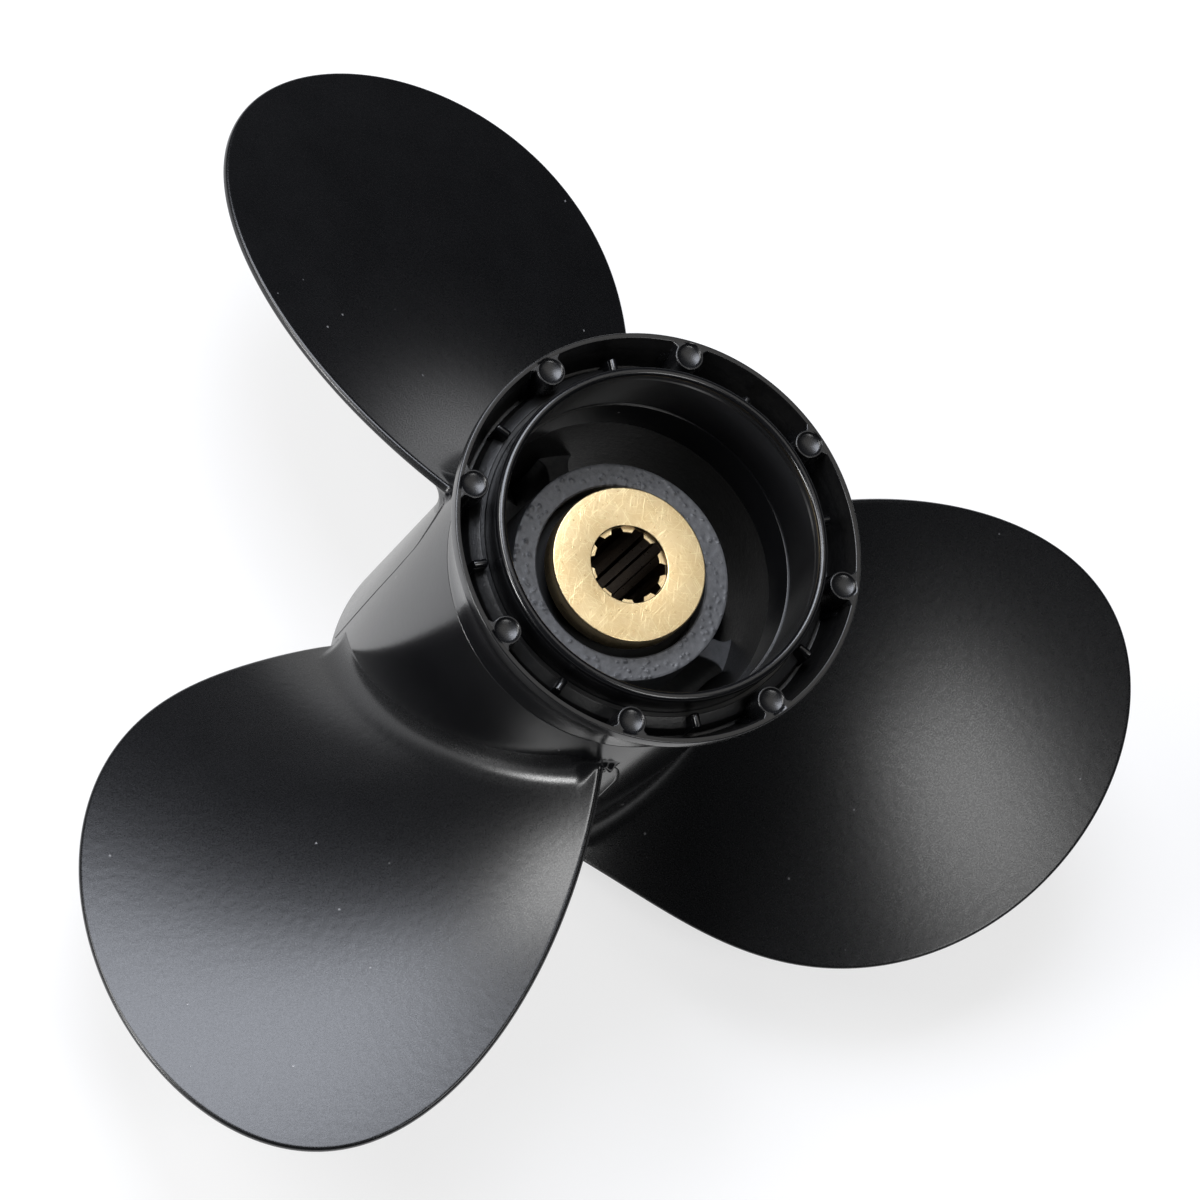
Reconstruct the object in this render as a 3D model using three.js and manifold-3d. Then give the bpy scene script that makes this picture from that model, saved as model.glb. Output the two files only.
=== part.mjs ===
// Three-bladed outboard-motor propeller, right-handed, with a through-hub exhaust duct.
// Millimetres. The shaft axis is Z: z = 0 is the hub's front end, which faces the gearcase,
// and +Z points aft, the way the exhaust leaves. Blade 1 stands along +Y.

import * as THREE from 'three';
import { LoftGeometry } from 'three/addons/geometries/LoftGeometry.js';
import { mergeVertices } from 'three/addons/utils/BufferGeometryUtils.js';
import Module from 'manifold-3d';

const wasm = await Module();
wasm.setup();

// ---- Driving dimensions -------------------------------------------------------------

const PROP_RADIUS = 130;
const BLADE_COUNT = 3;
const FIRST_BLADE = 90;          // degrees round +Z, measured from +X
const GAP = 0.3;                 // between neighbouring solids that touch on the real casting
const TURN_SEGMENTS = 60;        // facets round the axis

const SEAM_Z = 87.25;            // where the tubular hub ends and the flared ring begins
const RIM_Z = 111.8;             // top of the flared ring's lip
const STEP_Z = 96.85;            // foot of the inner collar, seen as a step in the duct

const HUB_RADIUS_FRONT = 36.65;
const HUB_RADIUS_AFT = 36.2;
const DUCT_RADIUS_FRONT = 33.4;
const DUCT_RADIUS_THROAT = 31.2;
const DUCT_RADIUS_STEP = 32.3;
const THROAT_Z = 60;

const LIP_RADIUS = 42.15;        // largest radius of the flared ring
const LIP_HEIGHT = 3.2;
const LIP_THICKNESS = 1.85;
const LIP_FOOT_Z = RIM_Z - LIP_HEIGHT - 1.2;
const FLARE_RISE = 4.7;          // how far the flare has grown outwards at the lip's foot
const WALL_SLANT = 1.1;          // how far the channel's outer wall comes in below the lip
const LEDGE_Z = RIM_Z - 6.1;     // flat shoulder outside the collar
const LEDGE_RADIUS = 36.65;
const CHANNEL_FLOOR_Z = RIM_Z - 10.2;
const CHANNEL_FLOOR_WIDTH = 0.6;

const COLLAR_INNER_RADIUS = 32.45;
const COLLAR_OUTER_RADIUS = 34.35;
const COLLAR_TOP_Z = RIM_Z + 2.35;

const PAD_COUNT = 8;             // ejector pads round the lip, with a rib midway between each two
const PAD_PITCH_RADIUS = 38.85;
const PAD_RADIUS = 2.75;
const PAD_DIMPLE_RADIUS = 2.1;
const PAD_DIMPLE_DEPTH = 0.6;
const FIRST_PAD = 23.5;
const RIB_WIDTH = 1.9;
const RIB_TOP_Z = RIM_Z - 3.4;
const RIB_END_RADIUS = 38.3;

const BARREL_FRONT_Z = 20;
const BARREL_AFT_Z = 88.4;
const BARREL_RADIUS_FRONT = 23.8;
const BARREL_RADIUS_AFT = 22.9;
const BARREL_BORE_RADIUS = 18.03;

const SPOKE_FRONT_Z = 24;
const SPOKE_AFT_Z = 68.3;
const SPOKE_THICKNESS = 4.9;
const SPOKE_FILLET = 3.6;        // where a spoke runs into the barrel or the hub
const SPOKE_LEAD = 1.6;          // degrees that a spoke stands ahead of its blade

const INSERT_FRONT_Z = 18;
const INSERT_AFT_Z = 93.2;
const INSERT_BODY_RADIUS = 13;
const INSERT_FLANGE_RADIUS = 16.2;
const INSERT_FLANGE_THICKNESS = 5.5;
const INSERT_CHAMFER = 0.4;
const SPLINE_TEETH = 10;
const SPLINE_MAJOR_RADIUS = 8.06;
const SPLINE_MINOR_RADIUS = 7.0;
const SPLINE_ROOT_WIDTH = 3.1;
const SPLINE_TIP_WIDTH = 1.75;
const SPLINE_SETBACK = 1.2;      // plain mouth in front of the teeth, at both ends
const FIRST_TOOTH = 5.6;

const BUSH_FRONT_Z = 22;
const BUSH_AFT_Z = 84;

// Blade outline. s runs from 0 at BLADE_BASE_RADIUS to 1 at the tip; lengths are along the
// helix at that radius. Each list holds the coefficients of a polynomial in s.
const BLADE_BASE_RADIUS = 39.4;
const BLADE_CHORD = [95.0, 67.7, 140.3, -80.0];   // times sqrt(1 - s), which rounds the tip
const BLADE_SKEW = [0, 24.8, -41.3, 50.7];
const BLADE_PITCH = [254.4, -21.5, -21.3];
const BLADE_MIDDLE_Z = [40.5, 3.3, -1.1];
const BLADE_EDGE_THICKNESS = 1.8;
const BLADE_ROOT_THICKNESS = 8.5;
const BLADE_SECTIONS = 15;
const BLADE_SECTION_POINTS = 28;

// ---- Small helpers ------------------------------------------------------------------

const radians = THREE.MathUtils.degToRad;
const polynomial = (coefficients, x) => coefficients.reduceRight((sum, c) => sum * x + c, 0);
const mix = THREE.MathUtils.lerp;

/** Turns a closed (radius, z) outline, counterclockwise with z up, about the Z axis. */
function turned(outline, segments = TURN_SEGMENTS) {
  const points = outline.map(([r, z]) => new THREE.Vector2(r, z));
  return new THREE.LatheGeometry(points, segments).rotateX(Math.PI / 2);
}

/** The same outline with its first point repeated, so that the turned surface closes. */
const closed = (outline) => [...outline, outline[0]];

/** Points of an arc round (r, z), from one angle to another in degrees. */
function arc(r, z, radius, from, to, steps) {
  return Array.from({ length: steps + 1 }, (_, i) => {
    const angle = radians(mix(from, to, i / steps));
    return [r + radius * Math.cos(angle), z + radius * Math.sin(angle)];
  });
}

/** A three.js geometry as a solid that can be cut and joined. */
function solid(geometry) {
  const bare = new THREE.BufferGeometry().copy(geometry);
  bare.deleteAttribute('normal');
  bare.deleteAttribute('uv');
  const merged = mergeVertices(bare);
  return new wasm.Manifold(new wasm.Mesh({
    numProp: 3,
    vertProperties: new Float32Array(merged.attributes.position.array),
    triVerts: new Uint32Array(merged.index.array),
  }));
}

/** A cut or joined solid back as a three.js geometry. */
function surface(shape) {
  const mesh = shape.getMesh();
  const geometry = new THREE.BufferGeometry();
  geometry.setAttribute('position', new THREE.BufferAttribute(mesh.vertProperties, 3));
  geometry.setIndex(new THREE.BufferAttribute(mesh.triVerts, 1));
  geometry.computeVertexNormals();
  return geometry;
}

// ---- Radii that follow z ------------------------------------------------------------

const hubRadius = (z) => mix(HUB_RADIUS_FRONT, HUB_RADIUS_AFT, z / SEAM_Z);

/** Wall of the exhaust duct: narrowest at the throat, with draft both ways. */
function ductRadius(z) {
  return z < THROAT_Z
    ? mix(DUCT_RADIUS_FRONT, DUCT_RADIUS_THROAT, z / THROAT_Z)
    : mix(DUCT_RADIUS_THROAT, DUCT_RADIUS_STEP, (z - THROAT_Z) / (STEP_Z - THROAT_Z));
}

const barrelRadius = (z) => mix(BARREL_RADIUS_FRONT, BARREL_RADIUS_AFT,
  (z - BARREL_FRONT_Z) / (BARREL_AFT_Z - BARREL_FRONT_Z));

// ---- The casting --------------------------------------------------------------------

function outerHub() {
  return turned(closed([
    [ductRadius(0), 0],
    [hubRadius(0), 0],
    [hubRadius(SEAM_Z), SEAM_Z - GAP / 2],
    [ductRadius(SEAM_Z), SEAM_Z - GAP / 2],
    [ductRadius(THROAT_Z), THROAT_Z],
  ]));
}

/** Outside of the flare at height z: it grows outwards from the seam to the lip's underside. */
function flareRadius(z) {
  const t = (z - SEAM_Z) / (LIP_FOOT_Z - SEAM_Z);
  return hubRadius(SEAM_Z) + FLARE_RISE * t * t;
}

/** Points of the flare's outside, from one height up to another. */
function flare(fromZ, toZ, steps) {
  return Array.from({ length: steps + 1 }, (_, i) => {
    const z = mix(fromZ, toZ, i / steps);
    return [flareRadius(z), z];
  });
}

/** The ring's thick lower part: it carries the duct on and ends in the ledge round the collar. */
function diffuserRing() {
  const seat = COLLAR_OUTER_RADIUS + GAP;
  const top = CHANNEL_FLOOR_Z - GAP;
  return turned(closed([
    [ductRadius(SEAM_Z), SEAM_Z + GAP / 2],
    ...flare(SEAM_Z + GAP / 2, top, 4),
    [LEDGE_RADIUS, top],
    [LEDGE_RADIUS, LEDGE_Z],
    [seat, LEDGE_Z],
    [seat, STEP_Z],
    [ductRadius(STEP_Z), STEP_Z],
  ]));
}

/** The ring's thin outer wall, which ends in the rounded lip. The channel lies inside it. */
function lipWall() {
  const roundTop = 0.9;          // height of the rounded top of the lip
  const channelWall = LIP_RADIUS - LIP_THICKNESS;
  return turned(closed([
    ...flare(CHANNEL_FLOOR_Z, LIP_FOOT_Z, 3),
    [LIP_RADIUS, RIM_Z - LIP_HEIGHT],
    [LIP_RADIUS, RIM_Z - roundTop],
    [LIP_RADIUS - LIP_THICKNESS / 2, RIM_Z],
    [channelWall, RIM_Z - roundTop],
    [channelWall - WALL_SLANT, RIM_Z - LIP_HEIGHT - 1.6],
    [LEDGE_RADIUS + CHANNEL_FLOOR_WIDTH, CHANNEL_FLOOR_Z],
  ]));
}

/** Thin wall that carries the duct on through the flared ring and ends in a rounded bead. */
function ductCollar() {
  const bead = (COLLAR_OUTER_RADIUS - COLLAR_INNER_RADIUS) / 2;
  return turned(closed([
    [COLLAR_INNER_RADIUS, STEP_Z + GAP],
    [COLLAR_OUTER_RADIUS, STEP_Z + GAP],
    ...arc(COLLAR_INNER_RADIUS + bead, COLLAR_TOP_Z - bead, bead, 0, 180, 6),
  ]));
}

/** The room between lip and collar that a pad may fill without touching either. */
function channelRoom() {
  return solid(turned(closed([
    [LEDGE_RADIUS + GAP, CHANNEL_FLOOR_Z + GAP],
    [LEDGE_RADIUS + CHANNEL_FLOOR_WIDTH + GAP, CHANNEL_FLOOR_Z + 2.5],
    [LIP_RADIUS - LIP_THICKNESS - WALL_SLANT - GAP, RIM_Z - LIP_HEIGHT - 1.6],
    [LIP_RADIUS - LIP_THICKNESS - GAP, RIM_Z],
    [COLLAR_OUTER_RADIUS + 2 * GAP, RIM_Z],
    [COLLAR_OUTER_RADIUS + 2 * GAP, LEDGE_Z + GAP],
    [LEDGE_RADIUS + GAP, LEDGE_Z + GAP],
  ])));
}

/** Round pad that the ejector pin pushed on, with the pin's shallow dimple in its top. */
function ejectorPad(angle, room) {
  const edge = 0.3;
  const sphere = (PAD_DIMPLE_RADIUS ** 2 + PAD_DIMPLE_DEPTH ** 2) / (2 * PAD_DIMPLE_DEPTH);
  const opening = THREE.MathUtils.radToDeg(Math.asin(PAD_DIMPLE_RADIUS / sphere));
  const dimple = arc(0, RIM_Z - PAD_DIMPLE_DEPTH + sphere, sphere, opening - 90, -90, 3);
  dimple[dimple.length - 1][0] = 0;
  const pad = turned([
    [0, CHANNEL_FLOOR_Z],
    [PAD_RADIUS, CHANNEL_FLOOR_Z],
    [PAD_RADIUS, RIM_Z - edge],
    [PAD_RADIUS - edge, RIM_Z],
    ...dimple,
  ], 18);
  pad.translate(PAD_PITCH_RADIUS, 0, 0).rotateZ(radians(angle));
  return surface(solid(pad).intersect(room));
}

/** Short round-topped rib that stands on the ledge and leans on the collar. */
function channelRib(angle) {
  const half = RIB_WIDTH / 2;
  const start = COLLAR_OUTER_RADIUS + GAP;
  const section = new THREE.Shape();
  section.moveTo(-half, LEDGE_Z + GAP);
  section.lineTo(half, LEDGE_Z + GAP);
  section.lineTo(half, RIB_TOP_Z - half);
  section.absarc(0, RIB_TOP_Z - half, half, 0, Math.PI);
  section.closePath();
  const rib = new THREE.ExtrudeGeometry(section, {
    depth: RIB_END_RADIUS - start,
    bevelEnabled: false,
    curveSegments: 5,
  });
  rib.rotateX(Math.PI / 2).rotateZ(Math.PI / 2);   // section upright, extruded along +X
  return rib.translate(start, 0, 0).rotateZ(radians(angle));
}

function innerBarrel() {
  const chamfer = 0.5;
  return turned(closed([
    [BARREL_BORE_RADIUS, BARREL_FRONT_Z],
    [barrelRadius(BARREL_FRONT_Z), BARREL_FRONT_Z],
    [barrelRadius(BARREL_AFT_Z), BARREL_AFT_Z - chamfer],
    [barrelRadius(BARREL_AFT_Z) - chamfer, BARREL_AFT_Z],
    [BARREL_BORE_RADIUS, BARREL_AFT_Z],
  ]));
}

/** The annular duct between barrel and hub, one gap clear of both walls. */
function ductRoom() {
  return solid(turned(closed([
    [barrelRadius(SPOKE_FRONT_Z) + GAP, SPOKE_FRONT_Z],
    [ductRadius(SPOKE_FRONT_Z) - GAP, SPOKE_FRONT_Z],
    [ductRadius(THROAT_Z) - GAP, THROAT_Z],
    [ductRadius(SPOKE_AFT_Z) - GAP, SPOKE_AFT_Z],
    [barrelRadius(SPOKE_AFT_Z) + GAP, SPOKE_AFT_Z],
  ])));
}

/** Web that carries the barrel inside the hub; both its ends flare into the walls. */
function spoke(angle, room) {
  const fillet = SPOKE_FILLET;
  const side = SPOKE_THICKNESS / 2 + fillet;
  const inner = barrelRadius(SPOKE_AFT_Z) - 1.2;      // both ends start inside the walls
  const outer = DUCT_RADIUS_FRONT + 0.5;
  const plan = new THREE.Shape();
  plan.moveTo(inner, -side);
  plan.absarc(inner + fillet, -side, fillet, Math.PI, Math.PI / 2, true);
  plan.absarc(DUCT_RADIUS_THROAT - fillet, -side, fillet, Math.PI / 2, 0, true);
  plan.lineTo(outer, -side);
  plan.lineTo(outer, side);
  plan.lineTo(DUCT_RADIUS_THROAT, side);
  plan.absarc(DUCT_RADIUS_THROAT - fillet, side, fillet, 0, -Math.PI / 2, true);
  plan.absarc(inner + fillet, side, fillet, -Math.PI / 2, -Math.PI, true);
  plan.closePath();
  const web = new THREE.ExtrudeGeometry(plan, {
    depth: SPOKE_AFT_Z - SPOKE_FRONT_Z,
    bevelEnabled: false,
    curveSegments: 4,
  });
  web.translate(0, 0, SPOKE_FRONT_Z).rotateZ(radians(angle));
  return surface(solid(web).intersect(room));
}

// ---- Blades -------------------------------------------------------------------------

/** Distance from a point of the blade, at chord fraction w (-1 to 1), to the blade's edge. */
function distanceToEdge(s, w) {
  const root = Math.sqrt(1 - s);
  const width = polynomial(BLADE_CHORD, s);
  const widthSlope = polynomial(BLADE_CHORD.slice(1).map((c, i) => c * (i + 1)), s);
  const skewSlope = polynomial(BLADE_SKEW.slice(1).map((c, i) => c * (i + 1)), s);
  const alongChord = -4 * w * root / width;
  const alongRadius = (w * w - 1 + 4 * w * skewSlope * root / width
    + 2 * w * w * ((1 - s) * widthSlope / width - 0.5)) / (PROP_RADIUS - BLADE_BASE_RADIUS);
  return (1 - s) * (1 - w * w) / Math.hypot(alongChord, alongRadius);
}

/** Half the thickness on the pressure face and on the suction face. */
function faceHeights(s, w) {
  const edge = BLADE_EDGE_THICKNESS / 2;
  const inside = Math.min(distanceToEdge(s, w) / edge, 1);
  const rounded = edge * Math.sqrt(inside * (2 - inside));
  const body = (BLADE_ROOT_THICKNESS - BLADE_EDGE_THICKNESS) * Math.pow(Math.max(1 - s, 0), 1.3);
  return { pressure: rounded, suction: rounded + body * (1 - w * w) };
}

/** A point of the blade, on its pressure (aft) face or its suction (forward) face. */
function bladePoint(s, w, onPressureFace) {
  const r = mix(BLADE_BASE_RADIUS, PROP_RADIUS, s);
  const halfChord = polynomial(BLADE_CHORD, s) * Math.sqrt(1 - s) / 2;
  const along = polynomial(BLADE_SKEW, s) + w * halfChord;
  const slope = Math.atan2(polynomial(BLADE_PITCH, s), 2 * Math.PI * r);
  const heights = faceHeights(s, w);
  const lift = onPressureFace ? heights.pressure : -heights.suction;
  const angle = (along * Math.cos(slope) - lift * Math.sin(slope)) / r;
  const z = polynomial(BLADE_MIDDLE_Z, s) + along * Math.sin(slope) + lift * Math.cos(slope);
  return new THREE.Vector3(r * Math.cos(angle), r * Math.sin(angle), z);
}

/** One closed section round the blade: up the pressure face and back on the suction face. */
function bladeSection(s) {
  return Array.from({ length: BLADE_SECTION_POINTS }, (_, i) => {
    const turn = 2 * Math.PI * (i + 0.5) / BLADE_SECTION_POINTS;
    return bladePoint(s, Math.cos(turn), turn < Math.PI);
  });
}

function blade(angle) {
  const firstS = (HUB_RADIUS_AFT - 4 - BLADE_BASE_RADIUS) / (PROP_RADIUS - BLADE_BASE_RADIUS);
  const lastS = 0.998;
  const sections = Array.from({ length: BLADE_SECTIONS }, (_, i) => {
    const t = i / (BLADE_SECTIONS - 1);
    return bladeSection(mix(firstS, lastS, 1 - (1 - t) ** 1.7));
  });
  const whole = new LoftGeometry(sections, { capStart: true, capEnd: true });
  whole.rotateZ(radians(angle));
  const hub = solid(turned([
    [0, -1],
    [hubRadius(0) + GAP, -1],
    [hubRadius(SEAM_Z) + GAP, SEAM_Z],
    [0, SEAM_Z],
  ]));
  return surface(solid(whole).subtract(hub));
}

// ---- Cushion hub --------------------------------------------------------------------

function rubberBush() {
  return turned(closed([
    [INSERT_BODY_RADIUS + GAP, BUSH_FRONT_Z],
    [BARREL_BORE_RADIUS - GAP, BUSH_FRONT_Z],
    [BARREL_BORE_RADIUS - GAP, BUSH_AFT_Z],
    [INSERT_BODY_RADIUS + GAP, BUSH_AFT_Z],
  ]), 48);
}

/** Outline of the splined hole: a circle with the teeth standing in from it. */
function splineOutline() {
  const outline = new THREE.Shape();
  const pitch = 360 / SPLINE_TEETH;
  const rootHalf = THREE.MathUtils.radToDeg(SPLINE_ROOT_WIDTH / 2 / SPLINE_MAJOR_RADIUS);
  const tipHalf = THREE.MathUtils.radToDeg(SPLINE_TIP_WIDTH / 2 / SPLINE_MINOR_RADIUS);
  const corners = [];
  for (let tooth = 0; tooth < SPLINE_TEETH; tooth += 1) {
    const middle = FIRST_TOOTH + tooth * pitch;
    corners.push([SPLINE_MAJOR_RADIUS, middle - rootHalf]);
    corners.push([SPLINE_MINOR_RADIUS, middle - tipHalf]);
    corners.push([SPLINE_MINOR_RADIUS, middle + tipHalf]);
    corners.push([SPLINE_MAJOR_RADIUS, middle + rootHalf]);
    corners.push([SPLINE_MAJOR_RADIUS, middle + pitch / 2]);
  }
  outline.setFromPoints(corners.map(([r, degrees]) =>
    new THREE.Vector2(r * Math.cos(radians(degrees)), r * Math.sin(radians(degrees)))));
  return outline;
}

function plug(radius, fromZ, toZ) {
  return turned([[0, fromZ], [radius, fromZ], [radius, toZ], [0, toZ]], 40);
}

function splinedInsert() {
  const flangeZ = INSERT_AFT_Z - INSERT_FLANGE_THICKNESS;
  const body = solid(turned([
    [0, INSERT_FRONT_Z],
    [INSERT_BODY_RADIUS - INSERT_CHAMFER, INSERT_FRONT_Z],
    [INSERT_BODY_RADIUS, INSERT_FRONT_Z + INSERT_CHAMFER],
    [INSERT_BODY_RADIUS, flangeZ],
    [INSERT_FLANGE_RADIUS, flangeZ],
    [INSERT_FLANGE_RADIUS, INSERT_AFT_Z - INSERT_CHAMFER],
    [INSERT_FLANGE_RADIUS - INSERT_CHAMFER, INSERT_AFT_Z],
    [0, INSERT_AFT_Z],
  ], 48));
  const splines = new THREE.ExtrudeGeometry(splineOutline(), {
    depth: INSERT_AFT_Z - INSERT_FRONT_Z + 2,
    bevelEnabled: false,
  }).translate(0, 0, INSERT_FRONT_Z - 1);
  return surface(body
    .subtract(solid(splines))
    .subtract(solid(plug(SPLINE_MAJOR_RADIUS, INSERT_AFT_Z - SPLINE_SETBACK, INSERT_AFT_Z + 1)))
    .subtract(solid(plug(SPLINE_MAJOR_RADIUS, INSERT_FRONT_Z - 1, INSERT_FRONT_Z + SPLINE_SETBACK))));
}

// ---- Materials and assembly ---------------------------------------------------------

const satinBlack = (name) => new THREE.MeshStandardMaterial({
  name, color: 0x26272b, roughness: 0.38, metalness: 0.25,
});
const bareCasting = () => new THREE.MeshStandardMaterial({
  name: 'barrel casting', color: 0x3a3b3e, roughness: 0.55, metalness: 0.4,
});
const blackRubber = () => new THREE.MeshStandardMaterial({
  name: 'rubber', color: 0x101010, roughness: 0.9, metalness: 0,
});
const brass = () => new THREE.MeshStandardMaterial({
  name: 'brass', color: 0xd9b679, roughness: 0.35, metalness: 1,
});

const propeller = new THREE.Group();
propeller.name = 'propeller';

function add(name, geometry, material) {
  const mesh = new THREE.Mesh(geometry, material);
  mesh.name = name;
  propeller.add(mesh);
}

add('outer_hub', outerHub(), satinBlack('hub paint'));
add('diffuser_ring', diffuserRing(), satinBlack('ring paint'));
add('lip_wall', lipWall(), satinBlack('lip paint'));
add('duct_collar', ductCollar(), satinBlack('collar paint'));
add('inner_barrel', innerBarrel(), bareCasting());

const ductSpace = ductRoom();
for (let i = 0; i < BLADE_COUNT; i += 1) {
  const angle = FIRST_BLADE + i * 360 / BLADE_COUNT;
  add(`blade_${i + 1}`, blade(angle), satinBlack('blade paint'));
  add(`spoke_${i + 1}`, spoke(angle + SPOKE_LEAD, ductSpace), satinBlack('spoke paint'));
}

const channelSpace = channelRoom();
for (let i = 0; i < PAD_COUNT; i += 1) {
  const step = 360 / PAD_COUNT;
  add(`ejector_pad_${i + 1}`, ejectorPad(FIRST_PAD + i * step, channelSpace), satinBlack('pad paint'));
  add(`channel_rib_${i + 1}`, channelRib(FIRST_PAD + (i + 0.5) * step), satinBlack('rib paint'));
}

add('rubber_bush', rubberBush(), blackRubber());
add('splined_insert', splinedInsert(), brass());

export default propeller;
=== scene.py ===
"""Outboard boat propeller: the looks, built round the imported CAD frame.

Metres, in the frame's own axes: Z is the shaft axis, +Z points aft, and the hub's front end
stands on z = 0. Everything turns with the body "casting" except the rubber bush and the
splined insert.
"""

import math

import bmesh
import bpy
import numpy as np
from mathutils import Matrix, Vector, noise


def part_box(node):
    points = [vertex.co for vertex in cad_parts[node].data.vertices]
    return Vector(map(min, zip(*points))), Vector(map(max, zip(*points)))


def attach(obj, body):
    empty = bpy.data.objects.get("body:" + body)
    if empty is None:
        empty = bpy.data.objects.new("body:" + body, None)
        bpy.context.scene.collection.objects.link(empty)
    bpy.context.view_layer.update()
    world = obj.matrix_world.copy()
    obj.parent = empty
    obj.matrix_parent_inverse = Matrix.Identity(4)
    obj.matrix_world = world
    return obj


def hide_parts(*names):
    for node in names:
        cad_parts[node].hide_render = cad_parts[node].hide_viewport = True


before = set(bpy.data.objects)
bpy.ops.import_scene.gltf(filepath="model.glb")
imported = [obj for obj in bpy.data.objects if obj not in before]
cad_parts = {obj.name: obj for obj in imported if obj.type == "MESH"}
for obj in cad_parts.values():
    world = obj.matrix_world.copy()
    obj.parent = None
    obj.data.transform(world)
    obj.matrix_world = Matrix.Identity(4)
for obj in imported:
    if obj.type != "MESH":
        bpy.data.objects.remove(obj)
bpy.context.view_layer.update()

MM = 0.001
TURN = 2 * math.pi

# ---- Sizes, from the frame ----------------------------------------------------------------

HUB_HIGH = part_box("outer_hub")[1]
RING_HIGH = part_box("diffuser_ring")[1]
LIP_LOW, LIP_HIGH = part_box("lip_wall")
COLLAR_LOW, COLLAR_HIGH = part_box("duct_collar")
BARREL_LOW, BARREL_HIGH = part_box("inner_barrel")
INSERT_LOW, INSERT_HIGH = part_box("splined_insert")
BUSH_LOW, BUSH_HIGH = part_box("rubber_bush")

GAP = 0.3 * MM
SEAM_Z = HUB_HIGH.z + GAP / 2
SEAM_ROUND = 0.22 * MM
HUB_RADIUS_FRONT = HUB_HIGH.x
HUB_RADIUS_AFT = HUB_RADIUS_FRONT - 0.45 * MM
DUCT_RADIUS_FRONT = 33.4 * MM
DUCT_RADIUS_THROAT = 31.2 * MM
DUCT_RADIUS_STEP = 32.3 * MM
THROAT_Z = 60 * MM

RIM_Z = LIP_HIGH.z
LIP_RADIUS = LIP_HIGH.x
LIP_THICKNESS = 1.1 * MM          # at the rim; the channel's side leans in below it
LIP_HEIGHT = 3.2 * MM
LIP_FOOT_Z = RIM_Z - LIP_HEIGHT - 1.2 * MM
FLARE_RISE = 4.7 * MM
CHANNEL_FLOOR_Z = LIP_LOW.z
LEDGE_Z = RING_HIGH.z
LEDGE_RADIUS = 35.2 * MM
STEP_Z = COLLAR_LOW.z - GAP
COLLAR_TOP_Z = COLLAR_HIGH.z
COLLAR_RADIUS = COLLAR_HIGH.x
COLLAR_INNER_RADIUS = COLLAR_RADIUS - 1.9 * MM

PAD_COUNT = 8
FIRST_PAD = math.radians(23.5)
PAD_PITCH_RADIUS = 38.85 * MM
PAD_RADIUS = 2.95 * MM
DISH_RADIUS = 2.6 * MM
DISH_DEPTH = 0.75 * MM
RIB_TOP_Z = RIM_Z - 3.4 * MM
RIB_START_RADIUS = LEDGE_RADIUS + 0.1 * MM
RIB_END_RADIUS = 38.3 * MM

BARREL_FRONT_Z = BARREL_LOW.z
BARREL_AFT_Z = BARREL_HIGH.z
BARREL_RADIUS_FRONT = BARREL_HIGH.x
BARREL_RADIUS_AFT = BARREL_RADIUS_FRONT - 0.9 * MM
BARREL_BORE_RADIUS = BUSH_HIGH.x + GAP

SPOKE_FRONT_Z = 24 * MM
SPOKE_AFT_Z = 68.3 * MM
SPOKE_THICKNESS = 4.9 * MM
SPOKE_FILLET = 3.6 * MM
SPOKE_LEAD = math.radians(1.6)

INSERT_FRONT_Z = INSERT_LOW.z
INSERT_AFT_Z = INSERT_HIGH.z
FLANGE_RADIUS = INSERT_HIGH.x
FLANGE_THICKNESS = 5.5 * MM
INSERT_BODY_RADIUS = 13 * MM
SPLINE_TEETH = 10
SPLINE_MAJOR_RADIUS = 8.06 * MM
SPLINE_MINOR_RADIUS = 7.0 * MM
SPLINE_ROOT_WIDTH = 3.1 * MM
SPLINE_TIP_WIDTH = 1.75 * MM
SPLINE_SETBACK = 1.2 * MM
FIRST_TOOTH = math.radians(5.6)

# Blade: s runs from 0 at BLADE_BASE_RADIUS to 1 at the tip; w runs from -1 to 1 along the chord.
BLADE_COUNT = 3
FIRST_BLADE = math.radians(90)
PROP_RADIUS = 130 * MM
BLADE_BASE_RADIUS = 39.4 * MM
BLADE_CHORD = [95.0 * MM, 67.7 * MM, 140.3 * MM, -80.0 * MM]
BLADE_SKEW = [0, 24.8 * MM, -41.3 * MM, 50.7 * MM]
BLADE_PITCH = [254.4 * MM, -21.5 * MM, -21.3 * MM]
BLADE_MIDDLE_Z = [40.5 * MM, 3.3 * MM, -1.1 * MM]
BLADE_EDGE_THICKNESS = 1.8 * MM
BLADE_ROOT_THICKNESS = 8.5 * MM
PRESSURE_FILLET = 5.4 * MM       # where the blade's aft face runs into the hub
SUCTION_FILLET = 4.5 * MM
EDGE_FILLET = 1.4 * MM           # the same at the leading and trailing edges
TRAILING_FADE = 0.10             # share of the half chord over which the fillet dies out
LEADING_FADE = 0.12

# ---- Small helpers ------------------------------------------------------------------------


def mix(a, b, t):
    return a + (b - a) * t


def smooth_step(t):
    t = np.clip(t, 0, 1)
    return t * t * (3 - 2 * t)


def polynomial(coefficients, x):
    return sum(c * x ** i for i, c in enumerate(coefficients))


def hub_radius(z):
    return mix(HUB_RADIUS_FRONT, HUB_RADIUS_AFT, z / SEAM_Z)


def duct_radius(z):
    """Wall of the exhaust duct, narrowest at the throat."""
    if z < THROAT_Z:
        return mix(DUCT_RADIUS_FRONT, DUCT_RADIUS_THROAT, z / THROAT_Z)
    return mix(DUCT_RADIUS_THROAT, DUCT_RADIUS_STEP, (z - THROAT_Z) / (STEP_Z - THROAT_Z))


def flare_radius(z):
    """Outside of the ring: it grows outwards from the seam to the lip's foot."""
    t = (z - SEAM_Z) / (LIP_FOOT_Z - SEAM_Z)
    return hub_radius(SEAM_Z) + FLARE_RISE * t * t


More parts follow.
